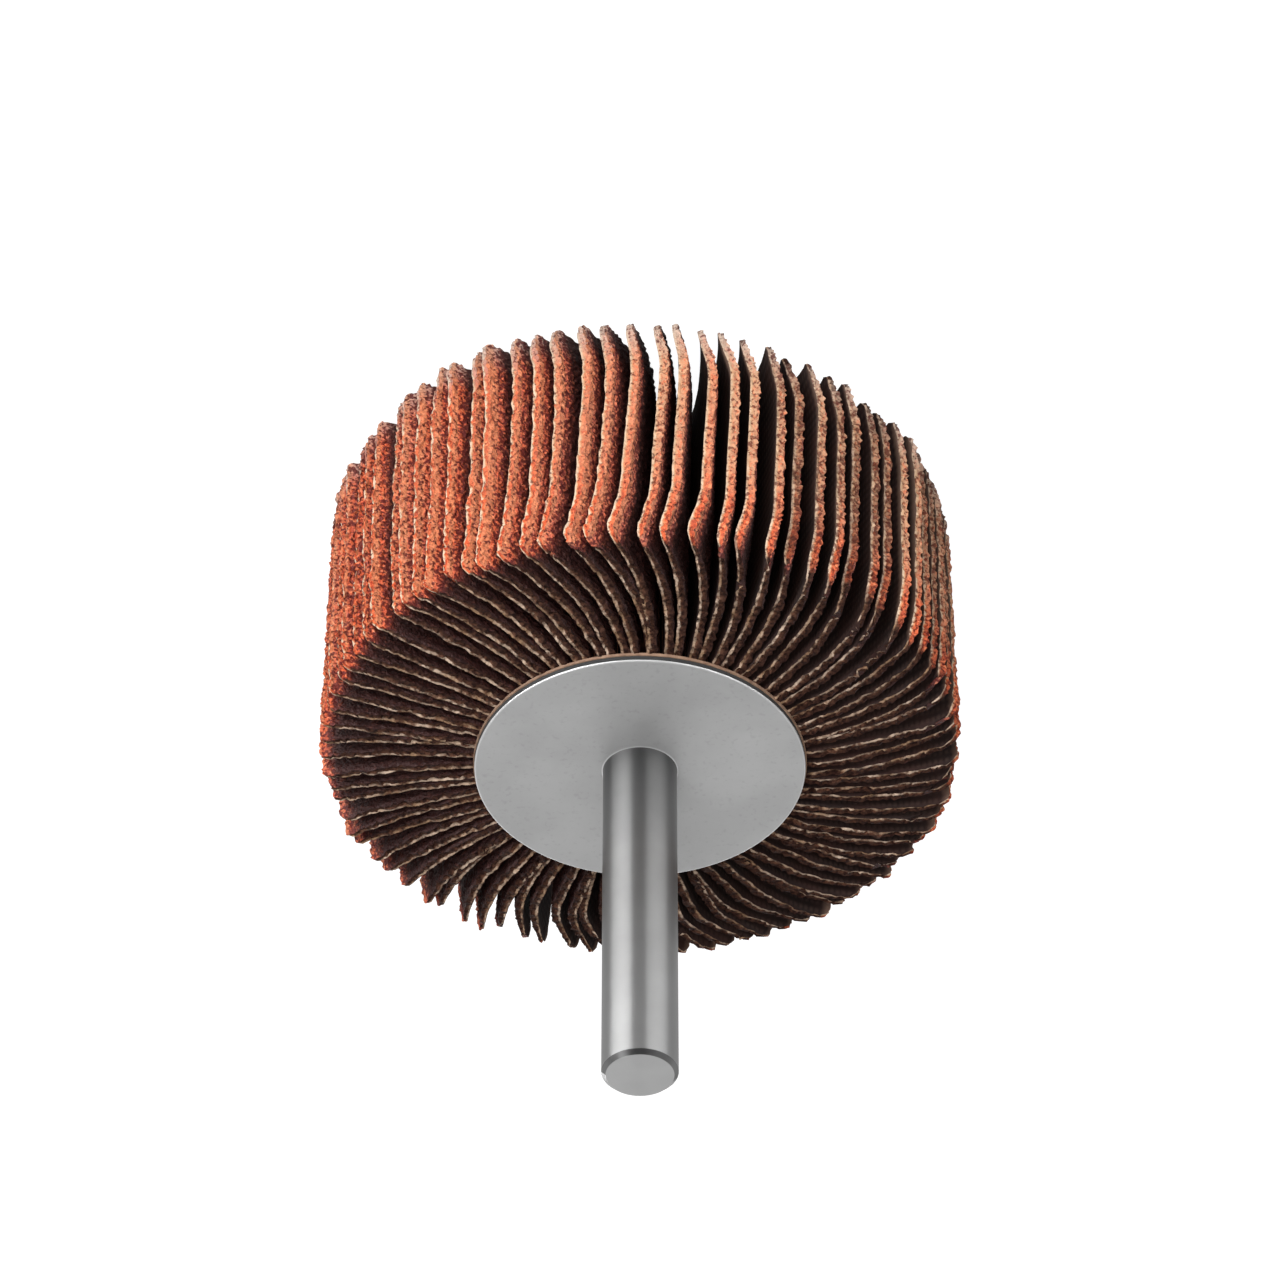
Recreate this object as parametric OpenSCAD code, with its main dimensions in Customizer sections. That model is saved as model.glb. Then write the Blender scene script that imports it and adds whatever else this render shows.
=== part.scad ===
// Mounted flap wheel: cloth-backed abrasive flaps stand round a resin hub
// and lean over together, between two steel washers on a 6 mm spindle.
// The wheel stands on its rear washer. Its axis is Z and the shank points up.

/* [Wheel] */
// Diameter over the tips of the flaps
wheel_d = 52; // [45:0.5:70]
// Width of a flap along the axis, where the hub holds it
flap_w = 25; // [15:0.5:40]
// How many flaps stand round the hub, in pairs
flap_count = 86; // [60:2:90]
// Thickness of one flap, its grit included
flap_t = 0.72; // [0.5:0.01:0.78]

/* [Lean of the flaps] */
// How far round the wheel a flap leans between hub and rim, in degrees
lean_angle = 6.8; // [0:0.1:12]
// The lean grows and shrinks by this much, twice round the wheel, in degrees
swing_angle = 1.3; // [0:0.1:2]
// Direction in which the flaps lean the most, in degrees
peak_angle = 105; // [0:1:180]
// Uneven lean from one flap to the next, in degrees
scatter_angle = 0.45; // [0:0.05:0.5]
// Share of the lean that comes late, as a curl toward the tip
curl_share = 0.3; // [0:0.05:0.6]
// Straight part of a flap outside the resin, before it leans
lean_start = 0.2; // [0.1:0.05:1]
// Where the first flap stands on the hub, in degrees
first_angle = 0; // [0:0.1:4]

/* [Edges of the flaps] */
// How much each side edge falls from the washer to the rim
edge_fall = 0.6; // [0:0.1:1.5]
// Worn corner at the rim, on the front side
corner_wear = 0.5; // [0.2:0.1:1.5]
// Worn corner at the rim on the rear side: how far it reaches in
rear_wear_in = 1.1; // [0.2:0.1:2]
// The same, how far it reaches along the axis
rear_wear_along = 2.4; // [0.2:0.1:4]

/* [Hub] */
// Resin left between two flaps at their roots
resin_wall = 0.12; // [0.06:0.01:0.4]
// Depth to which a flap's root sits in the resin
root_depth = 1.4; // [0.8:0.1:2.5]
// Film of glue round a flap's root, and round the spindle
glue_film = 0.01; // [0.005:0.005:0.02]
// How far the washers reach past the resin
washer_lip = 0.55; // [0.3:0.05:1.5]
// Thickness of the washers' steel sheet
washer_t = 0.5; // [0.4:0.05:1]
// Rounding of the washers' outer edge
washer_edge = 0.15; // [0.05:0.05:0.18]
// Thickness of the fibre rings under the washers
ring_t = 0.25; // [0.1:0.05:0.6]
// How far the fibre rings show past the washers
ring_lip = 0.1; // [0:0.05:0.25]

/* [Rear dish] */
// Diameter of the flat floor of the rear washer's dish
dish_d = 10.4; // [9.5:0.1:13]
// Depth of the dish, which hides the spindle's head
dish_depth = 1.2; // [1:0.1:2]

/* [Spindle] */
// Diameter of the shank
shank_d = 6; // [5:0.5:8]
// Length of the shank past the front washer
shank_l = 30.8; // [20:0.1:50]
// Diameter of the thicker seat inside the hub, flush with the front washer
seat_d = 6.5; // [6.4:0.1:7]
// Chamfer at the shank's end
shank_chamfer = 0.35; // [0.1:0.05:0.8]
// Diameter of the peened head behind the rear washer
head_d = 8.2; // [8.1:0.1:9.4]
// Height of the peened head
head_t = 0.8; // [0.4:0.1:0.9]
// Length of the knurl inside the hub
knurl_l = 13; // [6:0.5:13]
// How many ridges the knurl has
knurl_teeth = 20; // [13:1:30]
// Height of the knurl's ridges
knurl_h = 0.25; // [0.1:0.05:0.4]

/* [Hidden] */
root_r = flap_count * (flap_t + resin_wall) / (2 * PI);
core_r = root_r + root_depth;
washer_r = core_r + washer_lip;
rim_r = wheel_d / 2;
shank_r = shank_d / 2;
seat_r = seat_d / 2;
bore_r = seat_r + glue_film;
// The knurl's valleys stay this much above the seat
knurl_floor = knurl_h / 5;
rear_stack = washer_t + ring_t;
flap_rear = rear_stack;
flap_front = rear_stack + flap_w;
front_face = flap_front + ring_t + washer_t;
shank_end = front_face + shank_l;
dish_floor_r = dish_d / 2;
dish_rim_r = dish_floor_r + dish_depth;
// At the dish's 45 degree wall, the inner skin's corners stand this far out
sheet_shift = washer_t * (sqrt(2) - 1);
pitch = 360 / flap_count;
lean_start_r = core_r + lean_start;
path_steps = 7;
// The uneven lean never repeats in step with this turn
golden_angle = 137.5;
pair_count = flap_count / 2;

function two_digits(n) = n < 10 ? str("0", n) : str(n);
function pair_name(p) = str("flap_pair_", two_digits(p));
HUB_NODES = ["spindle", "front_washer", "rear_washer", "front_fibre_ring", "rear_fibre_ring", "resin_core"];

$fn = 96;

function polar(r, angle) = [r * cos(angle), r * sin(angle)];
function unit(v) = v / norm(v);
function left_of(v) = [-v.y, v.x];

// A flap's mid line, seen along the axis: straight in the resin, then leaning
function stand(i) = first_angle + i * pitch;
function sweep(i) =
    lean_angle + swing_angle * cos(2 * (stand(i) - peak_angle)) + scatter_angle * sin(golden_angle * i);
function lean(i, t) = sweep(i) * ((1 - curl_share) * t + curl_share * pow(t, 3));
function path_r(k) = lean_start_r + (rim_r + flap_t - lean_start_r) * k / path_steps;
function path_point(i, k) = polar(path_r(k), stand(i) + lean(i, k / path_steps));
function path(i) = concat([polar(root_r, stand(i))], [for (k = [0:path_steps]) path_point(i, k)]);
function normal(line, k) =
    left_of(unit(line[min(k + 1, len(line) - 1)] - line[max(k - 1, 0)]));
function flap_side(line, side) =
    [for (k = [0:len(line) - 1]) line[k] + side * flap_t / 2 * (k < 2 ? left_of(unit(line[1] - line[0])) : normal(line, k))];
function reversed(list) = [for (k = [len(list) - 1:-1:0]) list[k]];
function flap_outline(i) = concat(flap_side(path(i), -1), reversed(flap_side(path(i), 1)));

// A flap's outline seen from its flat side: along the radius of its tip, and up
function flap_sheet() = [
    [root_r / 2, flap_rear],
    [washer_r + ring_lip, flap_rear],
    [rim_r - rear_wear_in, flap_rear + edge_fall],
    [rim_r, flap_rear + edge_fall + rear_wear_along],
    [rim_r, flap_front - edge_fall - corner_wear],
    [rim_r - corner_wear, flap_front - edge_fall],
    [washer_r + ring_lip, flap_front],
    [root_r / 2, flap_front],
];

module flap(i) {
    intersection() {
        linear_extrude(front_face) polygon(flap_outline(i));
        rotate([90, 0, stand(i) + lean(i, 1)])
            linear_extrude(rim_r, center = true) polygon(flap_sheet());
    }
}

module flap_pair(p) {
    color("chocolate") {
        flap(2 * p - 2);
        flap(2 * p - 1);
    }
}

// One slot of the resin hub, as four points of its outline
function slot_point(i, r, side) =
    r * polar(1, stand(i)) + side * (flap_t / 2 + glue_film) * left_of(polar(1, stand(i)));
function slot(i) = [
    slot_point(i, core_r, -1),
    slot_point(i, root_r - glue_film, -1),
    slot_point(i, root_r - glue_film, 1),
    slot_point(i, core_r, 1),
];

module resin_core() {
    color("saddlebrown")
        difference() {
            translate([0, 0, flap_rear])
                linear_extrude(flap_w)
                    polygon([for (i = [0:flap_count - 1]) each slot(i)]);
            cylinder(r = bore_r, h = shank_end);
            knurl(glue_film);
            rotate_extrude() polygon(concat([[0, 0]], dish_skin(glue_film)));
        }
}

// The inner skin of the rear washer's dish, from its rim to the axis
function dish_skin(gap) = [
    [dish_rim_r + sheet_shift + washer_t + gap, 0],
    [dish_rim_r + sheet_shift + gap, washer_t],
    [dish_floor_r + sheet_shift + gap, dish_depth + washer_t + gap],
    [0, dish_depth + washer_t + gap],
];

// Spline-like knurl, which keys the spindle in the resin
module knurl(gap) {
    middle = (flap_rear + flap_front) / 2;
    points = [
        for (k = [0:2 * knurl_teeth - 1])
            polar(seat_r + gap + (k % 2 == 0 ? knurl_floor : knurl_h), k * 180 / knurl_teeth)
    ];
    translate([0, 0, middle - knurl_l / 2 - gap])
        linear_extrude(knurl_l + 2 * gap)
            polygon(points);
}

module spindle() {
    color("silver") {
        rotate_extrude()
            polygon([
                [0, dish_depth - head_t],
                [head_d / 2 - head_t / 2, dish_depth - head_t],
                [head_d / 2, dish_depth - head_t / 2],
                [head_d / 2, dish_depth],
                [seat_r, dish_depth],
                [seat_r, front_face],
                [shank_r, front_face],
                [shank_r, shank_end - shank_chamfer],
                [shank_r - shank_chamfer, shank_end],
                [0, shank_end],
            ]);
        knurl(0);
    }
}

// Flat washer with a bore, and with the edge of its outer face broken
module front_washer() {
    color("darkgray")
        translate([0, 0, flap_front + ring_t])
            rotate_extrude()
                polygon([
                    [bore_r, 0],
                    [washer_r, 0],
                    [washer_r, washer_t - washer_edge],
                    [washer_r - washer_edge, washer_t],
                    [bore_r, washer_t],
                ]);
}

// Washer with a dished middle, so that the wheel rests on its flat rim
module rear_washer() {
    color("darkgray")
        rotate_extrude()
            polygon([
                [bore_r, dish_depth],
                [dish_floor_r, dish_depth],
                [dish_rim_r, 0],
                [washer_r - washer_edge, 0],
                [washer_r, washer_edge],
                [washer_r, washer_t],
                [dish_rim_r + sheet_shift, washer_t],
                [dish_floor_r + sheet_shift, dish_depth + washer_t],
                [bore_r, dish_depth + washer_t],
            ]);
}

module fibre_ring(inner_r) {
    color("peru")
        difference() {
            cylinder(r = washer_r + ring_lip, h = ring_t);
            translate([0, 0, -ring_t]) cylinder(r = inner_r, h = 3 * ring_t);
        }
}

module front_fibre_ring() {
    translate([0, 0, flap_front]) fibre_ring(bore_r);
}

module rear_fibre_ring() {
    translate([0, 0, washer_t]) fibre_ring(dish_rim_r + sheet_shift);
}

spindle();
front_washer();
rear_washer();
front_fibre_ring();
rear_fibre_ring();
resin_core();
for (p = [1:pair_count])
    flap_pair(p);
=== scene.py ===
"""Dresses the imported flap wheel: worn flaps with real grit, satin steel, a white studio and the camera."""
import math

import bpy
import numpy as np
from mathutils import Matrix, Vector


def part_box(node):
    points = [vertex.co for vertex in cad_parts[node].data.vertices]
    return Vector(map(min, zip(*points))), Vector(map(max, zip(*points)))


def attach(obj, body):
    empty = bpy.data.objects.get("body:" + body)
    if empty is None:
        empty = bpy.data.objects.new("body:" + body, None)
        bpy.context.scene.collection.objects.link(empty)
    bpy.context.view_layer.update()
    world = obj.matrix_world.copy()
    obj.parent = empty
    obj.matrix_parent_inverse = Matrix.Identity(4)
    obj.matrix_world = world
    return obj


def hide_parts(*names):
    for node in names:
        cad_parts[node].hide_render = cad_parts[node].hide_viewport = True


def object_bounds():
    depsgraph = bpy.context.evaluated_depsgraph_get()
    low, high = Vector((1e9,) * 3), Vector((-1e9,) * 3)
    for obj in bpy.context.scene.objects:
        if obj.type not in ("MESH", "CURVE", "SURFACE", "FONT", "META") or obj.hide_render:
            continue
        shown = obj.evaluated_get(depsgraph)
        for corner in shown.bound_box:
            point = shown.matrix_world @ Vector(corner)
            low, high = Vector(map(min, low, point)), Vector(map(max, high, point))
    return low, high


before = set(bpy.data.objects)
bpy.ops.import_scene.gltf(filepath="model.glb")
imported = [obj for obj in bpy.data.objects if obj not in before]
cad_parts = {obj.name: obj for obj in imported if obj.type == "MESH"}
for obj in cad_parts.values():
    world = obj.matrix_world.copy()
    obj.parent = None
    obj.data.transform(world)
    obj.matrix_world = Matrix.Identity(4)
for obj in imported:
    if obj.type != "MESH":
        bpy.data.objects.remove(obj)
cad_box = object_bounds()

MM = 0.001
BODY = "root"

# Sizes that the frame gives
RIM_R = (cad_box[1].x - cad_box[0].x) / 2
RING_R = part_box("front_fibre_ring")[1].x
CORE_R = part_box("resin_core")[1].x
FLAP_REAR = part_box("flap_pair_01")[0].z
FLAP_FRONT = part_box("flap_pair_01")[1].z
FRONT_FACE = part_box("front_washer")[1].z
SHANK_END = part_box("spindle")[1].z

# The shank and the flaps, as the part's source has them
SHANK_R = 3 * MM
FLAP_T = 0.72 * MM
FLAP_WIDTH = FLAP_FRONT - FLAP_REAR
LEAN_START_R = CORE_R + 0.2 * MM
TIP_CURL = 0.3
EDGE_FALL = 0.6 * MM
# A worn flap's root ends here, inside its slot
ROOT_R = CORE_R - 1.3 * MM

# How finely a flap is modelled: steps out along the radius, and along the axis
STEPS_OUT = 40
STEPS_ALONG = 88
ROWS_ACROSS = 3
SEED = 26
# The materials of a flap's faces, as their places in its list
GRIT_FACE, EDGE_FACE, CLOTH_FACE = 0, 1, 2


def smooth(x, low=0.0, high=1.0):
    """0 below low, 1 above high, and a smooth step between."""
    t = np.clip((np.asarray(x, float) - low) / (high - low), 0, 1)
    return t * t * (3 - 2 * t)


def around(degrees, knots):
    """A value that changes smoothly round the wheel, from (direction, value) knots."""
    spots = [k[0] for k in knots]
    values = [k[1] for k in knots]
    return float(np.interp(degrees % 360, spots + [spots[0] + 360], values + [values[0]]))


def wavy(rng, x, length, octaves=1):
    """Smooth noise along x, about -1 to 1, with bumps about length apart."""
    total = np.zeros_like(np.asarray(x, float))
    for octave in range(octaves):
        step = length / 2**octave
        first = math.floor(float(np.min(x)) / step) - 1
        count = math.ceil(float(np.max(x)) / step) - first + 3
        values = rng.uniform(-1, 1, count)
        spot = np.asarray(x, float) / step - first
        whole = np.floor(spot).astype(int)
        part = smooth(spot - whole)
        total += (values[whole] * (1 - part) + values[whole + 1] * part) / 1.6**octave
    return total


def ragged(rng, x, wave, crumb, length):
    """An uneven edge along x: waves about length apart, and single crumbs."""
    return wave * wavy(rng, x, length, 2) + crumb * rng.uniform(-1, 1, x.size)


def spread(count, fine, coarse, both_ends=False):
    """count + 1 places from 0 to 1, with steps that shrink from coarse to fine toward the end or ends."""
    spot = (np.arange(count) + 0.5) / count
    nearness = np.abs(2 * spot - 1) if both_ends else spot
    steps = coarse + (fine - coarse) * nearness**1.5
    return np.concatenate([[0], np.cumsum(steps)]) / steps.sum()


# Flap shapes

# How far a flap's front corner bends ahead of its middle, in degrees, by direction round the wheel
FRONT_BEND = ((0, -0.2), (12, 0.0), (42, 1.4), (58, -0.6), (70, -3.4), (98, -3.6), (118, 0.0), (135, 2.2),
              (180, 3.2), (225, 3.2), (270, 3.2), (292, 1.0), (315, -1.8), (340, -2.2))
# How far the rear half hangs back from the middle, and how far the very corner curls ahead again
REAR_TWIST = ((0, 0.2), (60, -0.6), (200, -0.5), (242, -0.7), (268, -0.3), (285, 0.2), (330, 0.3))
REAR_CURL = ((0, 0.3), (100, 0.4), (200, 1.4), (235, 3.0), (262, 2.2), (285, 0.7), (310, 0.3), (330, 0.3))
# How far the last third of a flap hooks ahead
TIP_HOOK = ((0, 0.0), (30, 0.0), (56, 3.0), (70, 7.2), (98, 8.2), (118, 3.4), (150, 0.0), (330, 0.0))
# Radius of the worn front corner, in mm
FRONT_ROUND = ((0, 0.8), (90, 0.8), (180, 1.3), (205, 2.2), (240, 1.8), (270, 0.8), (340, 0.6))
# The same for the rear corner, along the tip
REAR_ROUND = ((0, 1.0), (90, 1.4), (200, 2.0), (235, 2.6), (280, 2.2), (300, 1.2), (340, 1.0))
# How far a flap's tip reaches past the rim's radius, and how little its rear edge falls there, in mm
TIP_REACH = ((0, 0.0), (200, 0.0), (238, -0.15), (258, 0.35), (288, 0.5), (312, 0.2), (340, 0.0))
REAR_FULL = ((0, 0.0), (225, 0.0), (258, 0.35), (288, 0.5), (315, 0.2), (340, 0.0))
# How much tan dust a flap's tip carries
TIP_DUST = ((0, 0.4), (100, 0.6), (180, 0.95), (235, 1.0), (256, 0.75), (276, 0.28), (340, 0.12))

# How ragged the tips and the side edges are, in mm: waves, single crumbs, and the waves' length
TIP_RAGGED = (0.06, 0.09, 1.6)
SIDE_RAGGED = (0.11, 0.09, 1.3)
# How deep the rounding of a worn corner cuts into the tip, as a share of its radius
FRONT_DEPTH, REAR_DEPTH = 0.9, 0.28
# Range of a flap's length, of its tip's slant and of its side edges' place, from flap to flap, in mm
LENGTH_RANGE = (-0.25, 0.15)
SLANT_RANGE = (-0.3, 0.3)
FRONT_RANGE = (-0.25, 0.15)
REAR_RANGE = (-0.1, 0.2)
# Range of the worn corners' radii from flap to flap, as factors
FRONT_ROUND_RANGE = (0.6, 1.3)
REAR_ROUND_RANGE = (0.7, 1.3)
# Shares of a front corner's bend that come slowly over the width, and quickly near the corner
BEND_SLOW, BEND_QUICK = 0.40, 0.66
# Uneven bends from flap to flap, in degrees
FRONT_SCATTER, TWIST_SCATTER, CURL_SCATTER, LEAN_SCATTER = 0.35, 0.25, 0.35, 0.12
# A slow wave along the tip: degrees, and length in mm
TIP_WAVE, TIP_WAVE_LENGTH = 0.13, 9
# A flap's width in mm, as the noise along its tip counts it
NOISE_SPAN = 25
# Wear is whole this far outside the hub and the rings
BARE_REACH = 0.8 * MM
# How high the grains stand and how deep the hollows lie, in mm, and how much more both do at the edges
GRAIN_HIGH, GRAIN_DEEP = 0.17, 0.06
BRINK_HIGH, BRINK_DEEP = 0.10, 0.05
# Share of the thickness that a tip has lost at its rear and its front corner
REAR_THIN, FRONT_THIN = 0.40, 0.5
# How far the threads of a cut edge stand back or out, in mm
FRAY_RANGE = (-0.24, 0.15)
# Uneven dust from flap to flap
DUST_SCATTER = 0.12


def flap_angles(node):
    """Where each flap of a CAD node stands at its root, and how far its tip leans, in degrees."""
    points = np.array([v.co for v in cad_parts[node].data.vertices], float)
    radius = np.hypot(points[:, 0], points[:, 1])
    middle = math.atan2(points[:, 1].mean(), points[:, 0].mean())
    angle = np.angle(np.exp(1j * (np.arctan2(points[:, 1], points[:, 0]) - middle)))

    def two_means(chosen):
        values = np.sort(angle[chosen])
        split = int(np.argmax(np.diff(values))) + 1
        return values[:split].mean(), values[split:].mean()

    roots = two_means(radius < radius.min() + 0.1 * MM)
    tips = two_means(radius > radius.max() - 0.1 * MM)
    return [(math.degrees(root + middle), math.degrees(tip - root)) for root, tip in zip(roots, tips)]


def flap_grid(rng, stand, sweep, out, along):
    """Points of a flap's middle sheet, its normals, and how far out they lie, on a grid of out by along."""
    out, along = np.meshgrid(out, along, indexing="ij")
    # Worn tip: uneven length, ragged edge and rounded corners
    line = along[0]
    from_rear = line * FLAP_WIDTH
    from_front = FLAP_WIDTH - from_rear
    corner_front = around(stand, FRONT_ROUND) * rng.uniform(*FRONT_ROUND_RANGE) * MM
    corner_rear = around(stand, REAR_ROUND) * rng.uniform(*REAR_ROUND_RANGE) * MM
    uneven = ragged(rng, line * NOISE_SPAN, *TIP_RAGGED)
    reach = around(stand, TIP_REACH) + rng.uniform(*LENGTH_RANGE)
    tip_r = RIM_R + (reach + rng.uniform(*SLANT_RANGE) * (line - 0.5) + uneven) * MM
    corners = ((from_front, corner_front, FRONT_DEPTH), (from_rear, corner_rear, REAR_DEPTH))
    for distance, corner, depth in corners:
        x = np.clip((corner - distance) / corner, 0, 1)
        tip_r = tip_r - corner * (1 - np.sqrt(np.clip(1 - x * x, 0, 1))) * depth
    radius = np.where(out < 0, ROOT_R, CORE_R + np.clip(out, 0, 1) * (tip_r[None, :] - CORE_R))
    # Side edges fall toward the rim and are a little ragged outside the washers
    free = np.clip((radius - RING_R) / (RIM_R - RING_R), 0, 1)
    bare = smooth(radius, RING_R, RING_R + BARE_REACH)
    radial = radius[:, -1] / MM
    uneven_front = ragged(rng, radial, *SIDE_RAGGED)[:, None]
    uneven_rear = ragged(rng, radial, *SIDE_RAGGED)[:, None]
    front_rise = rng.uniform(*FRONT_RANGE)
    rear_fall = rng.uniform(*REAR_RANGE) - around(stand, REAR_FULL)
    high = FLAP_FRONT - EDGE_FALL * free + (front_rise * free + uneven_front * bare) * MM
    low = FLAP_REAR + EDGE_FALL * free + (rear_fall * free + uneven_rear * bare) * MM
    height = low + along * (high - low)
    # Lean, corner bends and a slow wave along the tip
    t = np.clip((radius - LEAN_START_R) / (RIM_R - LEAN_START_R), 0, 1.1)
    t_lean = (1 - TIP_CURL) * t + TIP_CURL * t**3
    front = around(stand, FRONT_BEND) + rng.normal(0, FRONT_SCATTER)
    twist = around(stand, REAR_TWIST) + rng.normal(0, TWIST_SCATTER)
    curl = around(stand, REAR_CURL) + rng.normal(0, CURL_SCATTER)
    bend = front * (BEND_SLOW * smooth(along, 0.25, 1.0) + BEND_QUICK * smooth(along, 0.74, 1.03))
    bend += twist * smooth(1 - along, 0.35, 1.0) + curl * smooth(1 - along, 0.78, 1.02)
    wave = TIP_WAVE * wavy(rng, line * NOISE_SPAN, TIP_WAVE_LENGTH)[None, :]
    hook = around(stand, TIP_HOOK) * smooth(t, 0.5, 1.1)
    leaning = (sweep + rng.normal(0, LEAN_SCATTER)) * t_lean
    angle = np.radians(stand + leaning + (bend + wave) * t**1.6 + hook)
    points = np.stack([radius * np.cos(angle), radius * np.sin(angle), height], -1)
    d_out = np.gradient(points, axis=0)
    d_along = np.gradient(points, axis=1)
    normals = np.cross(d_along, d_out)
    normals /= np.linalg.norm(normals, axis=-1, keepdims=True)
    return points, normals, t


def border(rows, columns):
    """Grid indices round the edge of a sheet of rows by columns, as one closed loop."""
    loop = [(0, c) for c in range(columns - 1)]
    loop += [(r, columns - 1) for r in range(rows - 1)]
    loop += [(rows - 1, c) for c in range(columns - 1, 0, -1)]
    loop += [(r, 0) for r in range(rows - 1, 0, -1)]
    return loop


def flap_mesh(rng, stand, sweep):
    """One flap as points, faces, the faces' materials and a mark for each point."""
    out = np.concatenate([[-1], spread(STEPS_OUT - 1, fine=0.2, coarse=0.5)])
    along = spread(STEPS_ALONG, fine=0.19, coarse=0.33, both_ends=True)
    middle, normals, t = flap_grid(rng, stand, sweep, out, along)
    rows, columns = t.shape
    bare = smooth(np.hypot(middle[..., 0], middle[..., 1]), CORE_R, CORE_R + BARE_REACH)
    # Grit stands on one side only, a random height at each point of the grid
    clump = rng.uniform(0, 1, (rows, columns))
    brink = np.zeros((rows, columns))
    brink[-1, :] = brink[2:, 0] = brink[2:, -1] = 1
    grain = ((GRAIN_HIGH + BRINK_HIGH * brink) * clump**1.5 - GRAIN_DEEP - BRINK_DEEP * brink) * bare
    # The tip's corners are worn thin
    ends = REAR_THIN * smooth(1 - along, 0.86, 1.0) + FRONT_THIN * smooth(along, 0.94, 1.0)
    thin = 1 - ends[None, :] * smooth(t, 0.6, 1.0)
    half = FLAP_T / 2 * thin
    grit_side = middle - normals * (half + grain * thin * MM)[..., None]
    cloth_side = middle + normals * half[..., None]
    dust = float(np.clip(around(stand, TIP_DUST) + rng.normal(0, DUST_SCATTER), 0, 1))

    def mark(r, c, across):
        return (1 - t[r, c], across, dust, 1.0)

    points = list(grit_side.reshape(-1, 3))
    marks = [mark(r, c, 0.0) for r in range(rows) for c in range(columns)]
    index = np.arange(rows * columns).reshape(rows, columns)
    quads = np.stack([index[:-1, :-1], index[1:, :-1], index[1:, 1:], index[:-1, 1:]], -1).reshape(-1, 4)
    faces = [tuple(q) for q in quads.tolist()]
    kinds = [GRIT_FACE] * len(quads)
    # Strips across the cut edge, each row a little uneven
    loop = border(rows, columns)
    count = len(loop)
    last = [int(index[rc]) for rc in loop]
    outward = np.zeros((count, 3))
    for k, (r, c) in enumerate(loop):
        if r == rows - 1:
            outward[k] += middle[r, c] - middle[r - 1, c]
        if c in (0, columns - 1) and r > 1:
            outward[k] += middle[r, c] - middle[r, abs(c - 1)]
    norms = np.linalg.norm(outward, axis=1, keepdims=True)
    outward = np.where(norms > 0, outward / np.maximum(norms, 1e-9), 0)
    edge_bare = np.array([bare[rc] for rc in loop])
    for row in range(1, ROWS_ACROSS):
        across = row / ROWS_ACROSS
        fray = rng.uniform(*FRAY_RANGE, count) * edge_bare * MM
        start = len(points)
        for k, (r, c) in enumerate(loop):
            spot = middle[r, c] + normals[r, c] * (2 * across - 1) * half[r, c] + outward[k] * fray[k]
            points.append(spot)
            marks.append(mark(r, c, across))
        here = list(range(start, start + count))
        for k in range(count):
            n = (k + 1) % count
            faces.append((last[k], last[n], here[n], here[k]))
            kinds.append(EDGE_FACE)
        last = here
    # The cloth side has every second point, and joins the fine edge in triangles
    coarse = {}
    for r in range(0, rows, 2):
        for c in range(0, columns, 2):
            coarse[r, c] = len(points)
            points.append(cloth_side[r, c])
            marks.append(mark(r, c, 1.0))
    for r in range(0, rows - 2, 2):
        for c in range(0, columns - 2, 2):
            faces.append((coarse[r, c], coarse[r, c + 2], coarse[r + 2, c + 2], coarse[r + 2, c]))
            kinds.append(CLOTH_FACE)
    for k in range(0, count, 2):
        a, b = coarse[loop[k]], coarse[loop[(k + 2) % count]]
        n, m = (k + 1) % count, (k + 2) % count
        faces += [(last[k], last[n], a), (last[n], b, a), (last[n], last[m], b)]
        kinds += [EDGE_FACE] * 3
    return points, faces, kinds, marks


def new_piece(name, points, faces, materials, kinds, smooth_faces=False):
    """A mesh object in metres, riding on the body. kinds gives each face its place in materials."""
    mesh = bpy.data.meshes.new(name)
    mesh.from_pydata([tuple(p) for p in points], [], faces)
    for material in materials:
        mesh.materials.append(material)
    mesh.polygons.foreach_set("material_index", kinds)
    mesh.polygons.foreach_set("use_smooth", [smooth_faces] * len(mesh.polygons))
    mesh.update()
    piece = bpy.data.objects.new(name, mesh)
    bpy.context.scene.collection.objects.link(piece)
    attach(piece, BODY)
    return piece


def flap_pair(node, materials):
    """The two flaps of one CAD node, in full detail."""
    points, faces, kinds, marks = [], [], [], []
    number = int(node.rsplit("_", 1)[1])
    for place, (stand, sweep) in enumerate(flap_angles(node)):
        rng = np.random.default_rng([SEED, number, place])
        p, f, k, m = flap_mesh(rng, stand, sweep)
        start = len(points)
        points += p
        faces += [tuple(i + start for i in face) for face in f]
        kinds += k
        marks += m
    piece = new_piece(f"{node}_worn", points, faces, materials, kinds)
    attribute = piece.data.attributes.new("wear", "FLOAT_COLOR", "POINT")
    attribute.data.foreach_set("color", np.array(marks, np.float32).ravel())
    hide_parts(node)


# Materials

# Places of the sockets of a colour mix node
MIX_A, MIX_B, MIX_RESULT = 6, 7, 2


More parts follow.
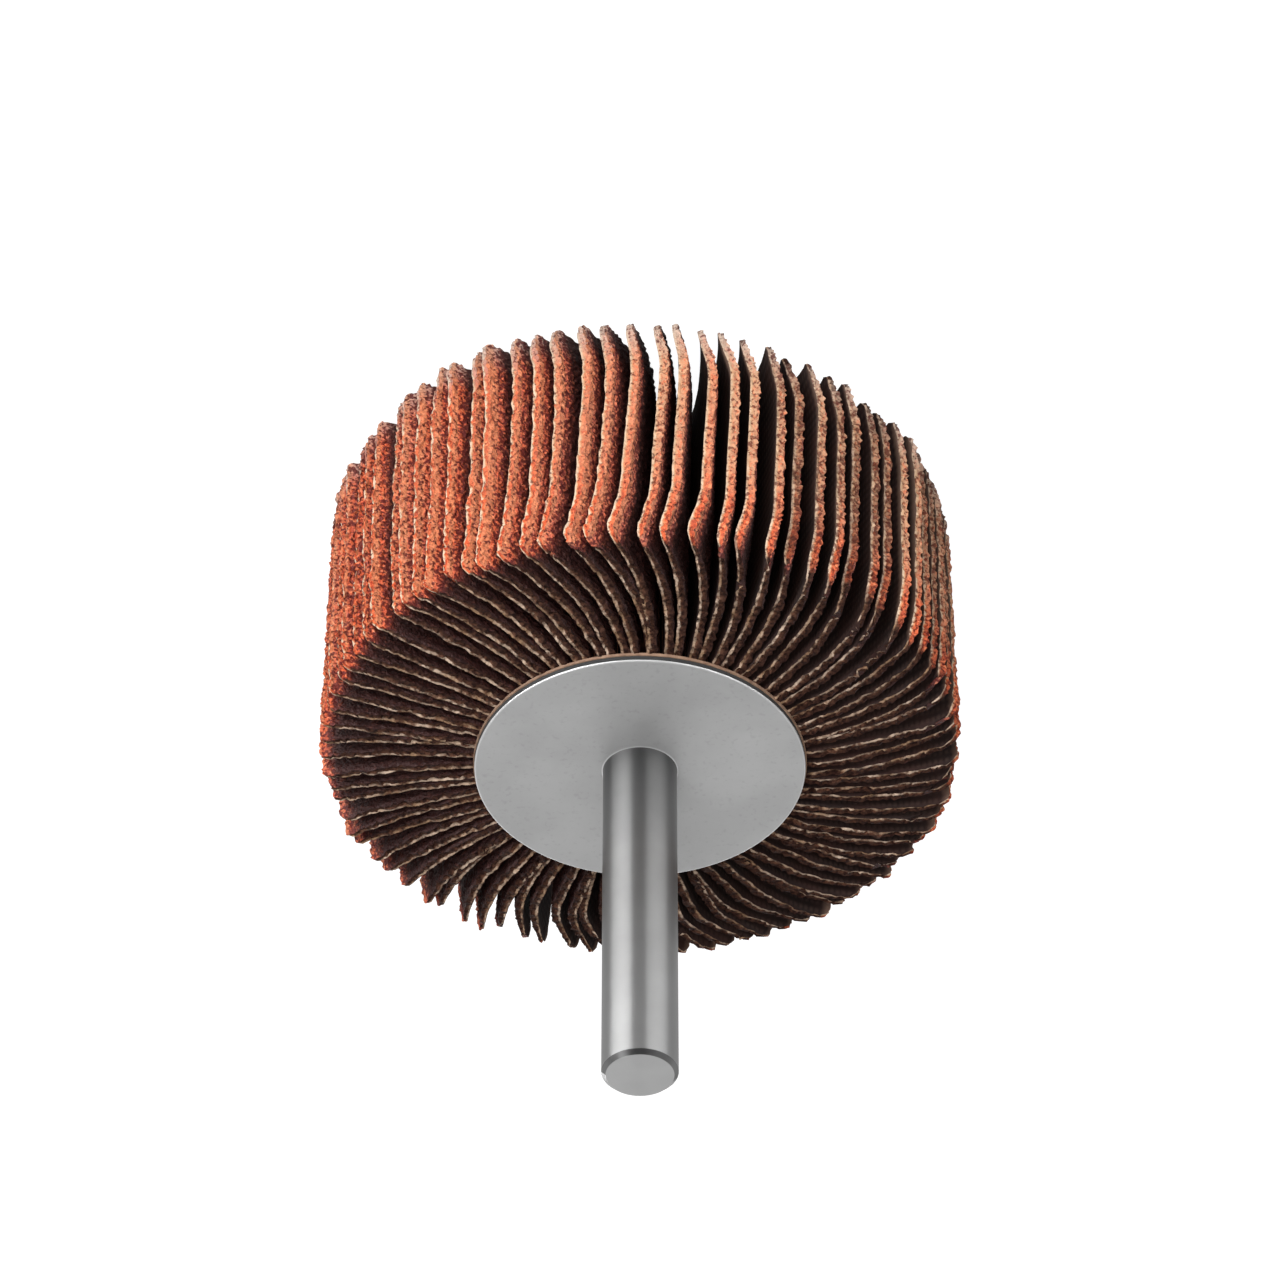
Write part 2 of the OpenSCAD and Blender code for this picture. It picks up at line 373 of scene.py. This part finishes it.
class Graph:
    """A material's node tree, with a short way to add and join nodes."""

    def __init__(self, name):
        self.material = bpy.data.materials.new(name)
        self.material.use_nodes = True
        self.tree = self.material.node_tree
        self.shader = self.tree.nodes["Principled BSDF"]
        self.place = self.add("ShaderNodeTexCoord").outputs["Object"]

    def add(self, kind, inputs=None, **settings):
        node = self.tree.nodes.new(kind)
        for name, value in settings.items():
            setattr(node, name, value)
        for name, value in (inputs or {}).items():
            self.put(node.inputs[name], value)
        return node

    def put(self, socket, value):
        if isinstance(value, bpy.types.NodeSocket):
            self.tree.links.new(value, socket)
        else:
            socket.default_value = value

    def math(self, operation, a, b=0.0, clamp=False):
        node = self.add("ShaderNodeMath", operation=operation, use_clamp=clamp)
        self.put(node.inputs[0], a)
        self.put(node.inputs[1], b)
        return node.outputs[0]

    def mix(self, share, a, b, blend="MIX"):
        node = self.add("ShaderNodeMix", data_type="RGBA", blend_type=blend)
        self.put(node.inputs["Factor"], share)
        for place, side in ((MIX_A, a), (MIX_B, b)):
            self.put(node.inputs[place], colour(side) if isinstance(side, tuple) else side)
        return node.outputs[MIX_RESULT]

    def ramp(self, value, stops):
        node = self.add("ShaderNodeValToRGB", {"Fac": value})
        elements = node.color_ramp.elements
        while len(elements) > 1:
            elements.remove(elements[-1])
        elements[0].position, elements[0].color = stops[0][0], colour(stops[0][1])
        for position, value in stops[1:]:
            elements.new(position).color = colour(value)
        return node.outputs["Color"]

    def scaled(self, per_mm, stretch=(1, 1, 1)):
        """The object's own coordinates, with this many units to a millimetre."""
        vector = tuple(per_mm / MM * s for s in stretch)
        node = self.add("ShaderNodeVectorMath", {0: self.place, 1: vector}, operation="MULTIPLY")
        return node.outputs[0]

    def noise(self, per_mm, detail):
        inputs = {"Vector": self.scaled(per_mm), "Scale": 1.0, "Detail": detail}
        return self.add("ShaderNodeTexNoise", inputs).outputs["Fac"]

    def fall(self, start, end, low=0.0):
        """From low to 1, as a point's height goes from start to end."""
        height = self.add("ShaderNodeSeparateXYZ", {"Vector": self.place}).outputs["Z"]
        inputs = {"Value": height, "From Min": start, "From Max": end, "To Min": low}
        return self.add("ShaderNodeMapRange", inputs).outputs["Result"]

    def bump(self, height, strength, distance):
        inputs = {"Height": height, "Strength": strength, "Distance": distance}
        self.put(self.shader.inputs["Normal"], self.add("ShaderNodeBump", inputs).outputs["Normal"])

    def finish(self, roughness, specular=None):
        """Sets the surface's roughness and, where given, how much a matt surface shines."""
        self.shader.inputs["Roughness"].default_value = roughness
        if specular is not None:
            self.shader.inputs["Specular IOR Level"].default_value = specular


def colour(value):
    """An RGBA colour from a grey or from three linear parts."""
    if isinstance(value, (int, float)):
        return (value, value, value, 1.0)
    return tuple(value) + (1.0,)


def marked(graph):
    """The wear marks of a flap's points: how far from the tip, how far across the flap, and dust."""
    node = graph.add("ShaderNodeAttribute", attribute_name="wear")
    parts = graph.add("ShaderNodeSeparateColor", {"Color": node.outputs["Color"]})
    return parts.outputs[0], parts.outputs[1], parts.outputs[2]


# The grit: pits, grains, rubbed tips, dust, and painted shade deep in the gaps
GRAINS_PER_MM = 4.6
PIT = (0.095, 0.010, 0.010)
RUST = (0.42, 0.058, 0.026)
ORANGE = (0.68, 0.118, 0.042)
SALMON = (0.80, 0.23, 0.10)
PALE = (0.70, 0.54, 0.40)
TAN = (0.52, 0.33, 0.20)
BAND = (0.58, 0.26, 0.12)
DUST = (0.47, 0.38, 0.32)
# Painted shade: the near-black the grit turns deep in the gaps between flaps
GAP_SHADE = (0.022, 0.008, 0.007)
# The cloth: its weave, stains and dusty tip
WEAVE_DARK = (0.018, 0.011, 0.010)
WEAVE_LIGHT = (0.038, 0.024, 0.020)
STAIN = (0.045, 0.018, 0.014)
CLOTH_TIP = (0.24, 0.15, 0.11)
THREAD_WIDTH = 0.45
# The cut edge below the tip: frayed threads, lumps of resin, and a near-black painted shade for the gap
# behind
THREAD_DARK = (0.28, 0.17, 0.10)
THREAD_LIGHT = (0.56, 0.42, 0.32)
LUMP_DARK = (0.018, 0.007, 0.005)
LUMP_LIGHT = (0.115, 0.052, 0.032)
# Painted shade: near-black for the shadowed gap seen behind the cut edge
GAP_SHADE_BEHIND = (0.016, 0.006, 0.005)
# The fibre rings and the hub
FIBRE_DARK = (0.17, 0.09, 0.055)
FIBRE_LIGHT = (0.32, 0.20, 0.13)
RESIN_DARK = (0.05, 0.018, 0.010)
RESIN_LIGHT = (0.12, 0.05, 0.028)
# Painted shade: the shank darkens toward its foot, and the chamfer at its end is painted darker than the
# steel round it, dulling its reflection
FOOT_REACH = 10 * MM
FOOT_SHADE = 0.42
CHAMFER_REACH = 0.40 * MM
CHAMFER_SHADE = 0.45


def grains_of(g, from_tip):
    """Colours of the orange grains, their distance field, and dark pits that grow denser down a flap."""
    grain = g.add("ShaderNodeTexVoronoi", {"Vector": g.scaled(GRAINS_PER_MM), "Scale": 1.0})
    pick = g.add("ShaderNodeSeparateColor", {"Color": grain.outputs["Color"]}).outputs[0]
    tones = g.ramp(pick, [(0.0, RUST), (0.22, RUST), (0.45, ORANGE), (0.72, ORANGE), (1.0, SALMON)])
    denser = g.math("MULTIPLY", g.math("MINIMUM", from_tip, 0.07), 2.1)
    pits = g.ramp(g.math("SUBTRACT", g.noise(GRAINS_PER_MM * 0.66, 2.0), denser), [(0.39, 1), (0.49, 0)])
    return tones, grain.outputs["Distance"], pits


def near_rear(g, reach):
    """1 at a flap's rear edge, and 0 from reach above it."""
    return g.fall(FLAP_REAR + EDGE_FALL + reach, FLAP_REAR + EDGE_FALL)


def grit_material():
    """Orange-brown grains of about 0.2 mm in dark resin, fresh at the tip, with painted shade deep in the
    gaps.
    """
    g = Graph("abrasive_grit")
    from_tip, _, dust = marked(g)
    base, distance, pits = grains_of(g, from_tip)
    cloud = g.ramp(g.noise(0.25, 3.0), [(0.42, 0), (0.75, 1)])
    rear = g.math("MULTIPLY", near_rear(g, 2.6 * MM), 0.75)
    worn = g.math("ADD", g.math("MULTIPLY", cloud, 0.10), g.math("MULTIPLY", dust, 0.20))
    dull = g.math("ADD", rear, worn, clamp=True)
    dusty = g.mix(g.math("MULTIPLY", dull, 0.85), base, DUST)
    # Rubbed tan along the very tip, and painted shade deep in the gap, darker the further from the tip
    shaken = g.math("ADD", from_tip, g.math("MULTIPLY", g.math("SUBTRACT", g.noise(2.0, 2.0), 0.5), 0.03))
    rubbed = g.ramp(shaken, [(0.004, 0.45), (0.010, 0.20), (0.018, 0)])
    tanned = g.mix(rubbed, dusty, BAND)
    pitted = g.mix(g.math("MULTIPLY", pits, 0.92), tanned, PIT)
    deep = g.ramp(shaken, [(0.035, 0), (0.062, 0.42), (0.09, 0.84), (0.14, 0.97)])
    g.put(g.shader.inputs["Base Color"], g.mix(deep, pitted, GAP_SHADE))
    g.finish(0.7, specular=0.25)
    height = g.math("SUBTRACT", 1.0, distance)
    g.bump(g.math("SUBTRACT", height, g.math("MULTIPLY", pits, 0.5)), 0.8, 0.10 * MM)
    return g.material


def cloth_material():
    """The cloth's plain weave under a thin brown resin size."""
    g = Graph("backing_cloth")
    from_tip = marked(g)[0]
    inputs = {"Vector": g.scaled(1.0), "Scale": 0.36, "Distortion": 1.2, "Detail": 1.0}
    along_thread = g.add("ShaderNodeTexWave", inputs, wave_type="BANDS", bands_direction="Z")
    radius = g.add("ShaderNodeVectorMath", {0: g.scaled(1.0, (1, 1, 0))}, operation="LENGTH").outputs["Value"]
    across_thread = g.math("ABSOLUTE", g.math("SINE", g.math("MULTIPLY", radius, math.pi / THREAD_WIDTH)))
    weave = g.math("MULTIPLY", along_thread.outputs["Fac"], across_thread)
    tone = g.mix(weave, WEAVE_DARK, WEAVE_LIGHT)
    stain = g.ramp(g.noise(0.3, 3.0), [(0.35, 0), (0.7, 1)])
    stained = g.mix(g.math("MULTIPLY", stain, 0.5), tone, STAIN)
    at_tip = g.ramp(from_tip, [(0.0, 0.6), (0.04, 0)])
    g.put(g.shader.inputs["Base Color"], g.mix(at_tip, stained, CLOTH_TIP))
    g.finish(0.9, specular=0.15)
    g.bump(weave, 0.35, 0.08 * MM)
    return g.material


def edge_material():
    """The cut edge: grains on one side and a frayed line of cloth on the other, painted dark as shade but for
    the tip.
    """
    g = Graph("cut_edge")
    from_tip, across, dust = marked(g)
    shake = g.math("MULTIPLY", g.math("SUBTRACT", g.noise(1.8, 3.0), 0.5), 0.5)
    where = g.math("ADD", across, shake)
    line = g.ramp(where, [(0.62, 0), (0.74, 1), (0.92, 1), (1.0, 0)])
    broken = g.ramp(g.noise(1.6, 4.0), [(0.38, 0.10), (0.56, 1)])
    tint = g.ramp(g.noise(0.5, 3.0), [(0.38, 0), (0.62, 1)])
    thread = g.mix(tint, THREAD_DARK, THREAD_LIGHT)
    lump = g.ramp(g.noise(3.0, 3.0), [(0.38, 0), (0.62, 1)])
    brown = g.mix(lump, LUMP_DARK, LUMP_LIGHT)
    # Painted shade: toward the grit side the edge goes near-black, like the shadowed gap behind it
    shown = g.ramp(where, [(0.25, 0.35), (0.62, 1), (0.95, 1), (1.05, 0)])
    body = g.mix(shown, GAP_SHADE_BEHIND, brown)
    sides = g.mix(g.math("MULTIPLY", line, broken), body, thread)
    # The tip shows the grit's own grains, more or less dusty, and the cloth as a tan band
    grains, _, pits = grains_of(g, from_tip)
    speck = g.ramp(g.noise(3.0, 3.0), [(0.34, 0.4), (0.50, 1)])
    height = g.ramp(near_rear(g, 20 * MM), [(0.0, 0.15), (0.28, 0.85), (1.0, 1.0)])
    cover = g.math("MULTIPLY", g.math("MULTIPLY", speck, dust), g.math("MULTIPLY", height, 0.9))
    band = g.ramp(where, [(0.58, 0), (0.74, 0.9), (0.84, 1)])
    cloth = g.mix(g.ramp(where, [(0.74, 0), (0.90, 1)]), BAND, PALE)
    dusty = g.mix(cover, g.mix(band, grains, cloth), TAN)
    aged = g.mix(g.math("MULTIPLY", near_rear(g, 4.5 * MM), 0.95), dusty, DUST)
    tip = g.mix(g.math("MULTIPLY", pits, 0.80), aged, PIT)
    at_tip = g.math("SUBTRACT", 1.0, g.math("MULTIPLY", from_tip, 22.0, clamp=True))
    g.put(g.shader.inputs["Base Color"], g.mix(at_tip, sides, tip))
    g.finish(0.9, specular=0.1)
    g.bump(g.math("SUBTRACT", g.noise(5.0, 3.0), g.math("MULTIPLY", pits, 0.4)), 0.8, 0.12 * MM)
    return g.material


def shank_shade(g, tone):
    """A steel tone with painted shade: darker at the shank's foot and on the chamfer at its end."""
    # Painted shade at the foot, and below it painted shade on the chamfer
    foot = g.fall(FRONT_FACE, FRONT_FACE + FOOT_REACH, low=FOOT_SHADE)
    near_end = g.fall(SHANK_END - CHAMFER_REACH, SHANK_END)
    chamfer = g.ramp(near_end, [(0.10, 1.0), (0.14, CHAMFER_SHADE), (0.95, CHAMFER_SHADE), (0.985, 1.0)])
    return g.mix(1.0, g.mix(1.0, tone, foot, "MULTIPLY"), chamfer, "MULTIPLY")


def steel_material(name, base, roughness, anisotropic=0.0, metallic=1.0, spots=0.0, shank=False):
    """Satin steel with faint blotches, and spots where asked."""
    g = Graph(name)
    tone = g.ramp(g.noise(0.16, 4.0), [(0.35, base * 0.93), (0.65, base * 1.05)])
    if spots:
        speck = g.ramp(g.noise(2.5, 3.0), [(0.30, 1.0 - spots), (0.42, 1.0)])
        tone = g.mix(1.0, tone, speck, "MULTIPLY")
    if shank:
        tone = shank_shade(g, tone)
    g.put(g.shader.inputs["Base Color"], tone)
    g.shader.inputs["Metallic"].default_value = metallic
    g.finish(roughness)
    g.shader.inputs["Anisotropic"].default_value = anisotropic
    if anisotropic:
        g.shader.inputs["Anisotropic Rotation"].default_value = 0.25
        tangent = g.add("ShaderNodeTangent", direction_type="RADIAL", axis="Z")
        g.put(g.shader.inputs["Tangent"], tangent.outputs["Tangent"])
    else:
        rough = g.ramp(g.noise(0.5, 4.0), [(0.3, roughness * 0.9), (0.7, roughness * 1.1)])
        g.put(g.shader.inputs["Roughness"], rough)
        g.bump(g.noise(6.0, 3.0), 0.15, 0.02 * MM)
    return g.material


def fibre_material():
    """Brown vulcanised fibre, a little mottled."""
    g = Graph("fibre_board")
    tone = g.ramp(g.noise(1.5, 4.0), [(0.3, FIBRE_DARK), (0.7, FIBRE_LIGHT)])
    g.put(g.shader.inputs["Base Color"], tone)
    g.finish(0.8)
    g.bump(g.noise(6.0, 3.0), 0.5, 0.03 * MM)
    return g.material


def resin_material():
    """Dark brown cast resin."""
    g = Graph("cast_resin")
    tone = g.ramp(g.noise(0.8, 4.0), [(0.3, RESIN_DARK), (0.7, RESIN_LIGHT)])
    g.put(g.shader.inputs["Base Color"], tone)
    g.finish(0.6)
    g.bump(g.noise(2.5, 3.0), 0.5, 0.05 * MM)
    return g.material


# Turned steel pieces

TURNS = 192
SHARP_ANGLE = math.radians(40)
# The rounded washer: how far it stands over the CAD one, its edge's radius, and the lip's width and height
FACE_LIFT = 0.02 * MM
EDGE_ROUND = 0.13 * MM
LIP_WIDTH = 0.08 * MM
LIP_HEIGHT = 0.04 * MM
BORE_GAP = 0.02 * MM


def arc(centre, radius, first, last, count=6):
    """Points of an arc in a profile, from one angle to another in degrees."""
    angles = np.radians(np.linspace(first, last, count))
    return [(centre[0] + radius * math.cos(a), centre[1] + radius * math.sin(a)) for a in angles]


def turned(name, profile, materials, strips):
    """A closed profile of (radius, height) turned round the axis, with a material for each of its strips."""
    points, faces = [], []
    rows = len(profile)
    for k in range(TURNS):
        a = 2 * math.pi * k / TURNS
        points += [(r * math.cos(a), r * math.sin(a), z) for r, z in profile]
    for k in range(TURNS):
        n = (k + 1) % TURNS
        for j in range(rows):
            m = (j + 1) % rows
            faces.append((k * rows + j, n * rows + j, n * rows + m, k * rows + m))
    piece = new_piece(name, points, faces, materials, strips * TURNS, smooth_faces=True)
    piece.data.set_sharp_from_angle(angle=SHARP_ANGLE)
    return piece


def rounded_washer(node, face, burnished, wall):
    """The front washer with a rounded edge, a wall painted near-black as shade, and a small lip tight round
    the shank.
    """
    low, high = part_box(node)
    bore_r = SHANK_R + BORE_GAP
    outer = high.x
    top = high.z + FACE_LIFT
    soft = EDGE_ROUND
    profile = [(bore_r, low.z), (outer - 0.3 * MM, low.z), (outer, low.z), (outer, top - soft - 0.03 * MM)]
    profile += arc((outer - soft, top - soft), soft, 0, 90)
    profile += [(outer - soft - 0.1 * MM, top), (bore_r + 2 * LIP_WIDTH, top), (bore_r + LIP_WIDTH, top)]
    profile += [(bore_r + 0.03 * MM, top + 0.03 * MM), (bore_r, top + LIP_HEIGHT)]
    # The strips' materials: 0 the face, 1 the burnished edge and lip, 2 the wall, back and bore, painted
    # near-black as shade
    strips = [2, 2, 2, 2] + [1] * 5 + [0, 0, 0, 1, 1, 2]
    piece = turned(f"{node}_rounded", profile, [face, burnished, wall], strips)
    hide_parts(node)


def main():
    grit, cloth, edge = grit_material(), cloth_material(), edge_material()
    for node in sorted(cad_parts):
        if node.startswith("flap_pair_"):
            flap_pair(node, [grit, edge, cloth])
    shank_steel = steel_material("shank_steel", 0.37, 0.30, anisotropic=0.8, shank=True)
    washer_steel = steel_material("washer_steel", 0.375, 0.50, metallic=0.42, spots=0.10)
    paint = {
        "spindle": shank_steel,
        "front_washer": washer_steel,
        "rear_washer": washer_steel,
        "front_fibre_ring": fibre_material(),
        "rear_fibre_ring": fibre_material(),
        "resin_core": resin_material(),
    }
    for node, material in paint.items():
        for material_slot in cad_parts[node].material_slots:
            material_slot.material = material
    burnished = steel_material("burnished_edge", 0.46, 0.45, metallic=0.6)
    # Painted shade: near-black steel for the washer's wall, which faces away from the light
    wall_shade = steel_material("painted_wall_shade", 0.03, 0.60, metallic=0.3)
    rounded_washer("front_washer", washer_steel, burnished, wall_shade)


# Studio

FLOOR_DIFFUSE = 0.30
WORLD_DIFFUSE = 0.28
# What the steel reflects of the side behind the camera
DARK_SIDE = 0.22
FLOOR_HALF = 2.0
# A hair under the wheel, so that the floor doesn't share a plane with the rear washer's face
FLOOR_LOW = -0.02 * MM


def light_by_ray(tree, camera, glossy, other):
    """A strength for camera rays, one for reflections and one for all others."""
    path = tree.nodes.new("ShaderNodeLightPath")
    strength = other
    for ray, level in (("Is Glossy Ray", glossy), ("Is Camera Ray", camera)):
        step = tree.nodes.new("ShaderNodeMix")
        step.data_type = "FLOAT"
        tree.links.new(path.outputs[ray], step.inputs["Factor"])
        for socket, value in ((step.inputs[2], strength), (step.inputs[3], level)):
            if isinstance(value, float):
                socket.default_value = value
            else:
                tree.links.new(value, socket)
        strength = step.outputs[0]
    return strength


def studio_world():
    """White all round, with a darker side behind the camera for what the steel reflects."""
    world = bpy.data.worlds.new("studio")
    bpy.context.scene.world = world
    world.use_nodes = True
    tree = world.node_tree
    back = tree.nodes["Background"]
    back.inputs["Color"].default_value = (1, 1, 1, 1)
    direction = tree.nodes.new("ShaderNodeTexCoord")
    split = tree.nodes.new("ShaderNodeSeparateXYZ")
    tree.links.new(direction.outputs["Generated"], split.inputs[0])
    fade = tree.nodes.new("ShaderNodeMapRange")
    for name, value in (("From Min", -0.3), ("From Max", 0.4), ("To Min", DARK_SIDE), ("To Max", 1.0)):
        fade.inputs[name].default_value = value
    tree.links.new(split.outputs["Y"], fade.inputs["Value"])
    strength = light_by_ray(tree, camera=1.0, glossy=fade.outputs["Result"], other=WORLD_DIFFUSE)
    tree.links.new(strength, back.inputs["Strength"])


def studio_floor():
    """A white floor that keeps a faint shadow, and is clear from below."""
    mesh = bpy.data.meshes.new("floor")
    half, low = FLOOR_HALF, FLOOR_LOW
    corners = [(-half, -half, low), (half, -half, low), (half, half, low), (-half, half, low)]
    mesh.from_pydata(corners, [], [(0, 1, 2, 3)])
    floor = bpy.data.objects.new("floor", mesh)
    bpy.context.scene.collection.objects.link(floor)
    material = bpy.data.materials.new("floor_white")
    material.use_nodes = True
    tree = material.node_tree
    tree.nodes.clear()
    output = tree.nodes.new("ShaderNodeOutputMaterial")
    diffuse = tree.nodes.new("ShaderNodeBsdfDiffuse")
    diffuse.inputs["Color"].default_value = (FLOOR_DIFFUSE, FLOOR_DIFFUSE, FLOOR_DIFFUSE, 1)
    glow = tree.nodes.new("ShaderNodeEmission")
    strength = light_by_ray(tree, camera=0.95, glossy=0.28, other=0.14)
    tree.links.new(strength, glow.inputs["Strength"])
    both = tree.nodes.new("ShaderNodeAddShader")
    tree.links.new(diffuse.outputs[0], both.inputs[0])
    tree.links.new(glow.outputs[0], both.inputs[1])
    clear = tree.nodes.new("ShaderNodeBsdfTransparent")
    facing = tree.nodes.new("ShaderNodeNewGeometry")
    side = tree.nodes.new("ShaderNodeMixShader")
    tree.links.new(facing.outputs["Backfacing"], side.inputs[0])
    tree.links.new(both.outputs[0], side.inputs[1])
    tree.links.new(clear.outputs[0], side.inputs[2])
    tree.links.new(side.outputs[0], output.inputs["Surface"])
    mesh.materials.append(material)


def lamp(name, place, target, size, power, shine=True, matt=True):
    """A soft lamp that looks at a point, and may light only reflections or only matt surfaces."""
    data = bpy.data.lights.new(name, "AREA")
    data.shape = "RECTANGLE"
    data.size, data.size_y = size
    data.energy = power
    light = bpy.data.objects.new(name, data)
    bpy.context.scene.collection.objects.link(light)
    light.location = place
    light.rotation_euler = (Vector(target) - Vector(place)).to_track_quat("-Z", "Y").to_euler()
    light.visible_glossy = shine
    light.visible_diffuse = matt


# The camera fitted to the photograph: how far behind the axis it stands and how far above the flaps'
# front corners at the rim, its angle off the axis, and its lens on a 36 mm sensor
CAMERA_BACK = 0.3086
CAMERA_UP = 0.2648
VIEW_SIN, VIEW_COS = 0.7433, 0.6690
LENS = 140.625
SENSOR = 36


def studio_camera():
    """The photograph's view: 42 degrees above the standing wheel, rolled half a turn."""
    data = bpy.data.cameras.new("camera")
    data.lens = LENS
    data.sensor_width = SENSOR
    data.clip_start = 0.01
    camera = bpy.data.objects.new("camera", data)
    bpy.context.scene.collection.objects.link(camera)
    rim_front = FLAP_FRONT - EDGE_FALL
    axes = Matrix(((-1, 0, 0), (0, -VIEW_COS, -VIEW_SIN), (0, -VIEW_SIN, VIEW_COS))).transposed()
    camera.matrix_world = Matrix.Translation((0, -CAMERA_BACK, rim_front + CAMERA_UP)) @ axes.to_4x4()
    bpy.context.scene.camera = camera


def studio():
    studio_world()
    studio_floor()
    middle = (0, 0, FLAP_FRONT)
    lamp("key", (0.17, -0.435, 0.13), middle, (0.36, 0.20), 2.35, shine=False)
    lamp("fill", (-0.40, -0.30, 0.14), middle, (0.20, 0.20), 0.35)
    lamp("left_card", (0.178, -0.130, 0.02), middle, (0.26, 0.10), 1.45, matt=False)
    lamp("left_high", (0.170, -0.125, 0.13), middle, (0.10, 0.12), 0.20, matt=False)
    lamp("right_card", (-0.163, -0.147, 0.02), middle, (0.26, 0.10), 0.75, matt=False)
    lamp("rear_card", (0.06, 0.45, 0.06), middle, (0.50, 0.12), 1.0, matt=False)
    lamp("top", (0.03, -0.28, 0.38), middle, (0.30, 0.30), 1.0, shine=False)
    bpy.context.scene.view_settings.view_transform = "Standard"


main()
studio_camera()
studio()
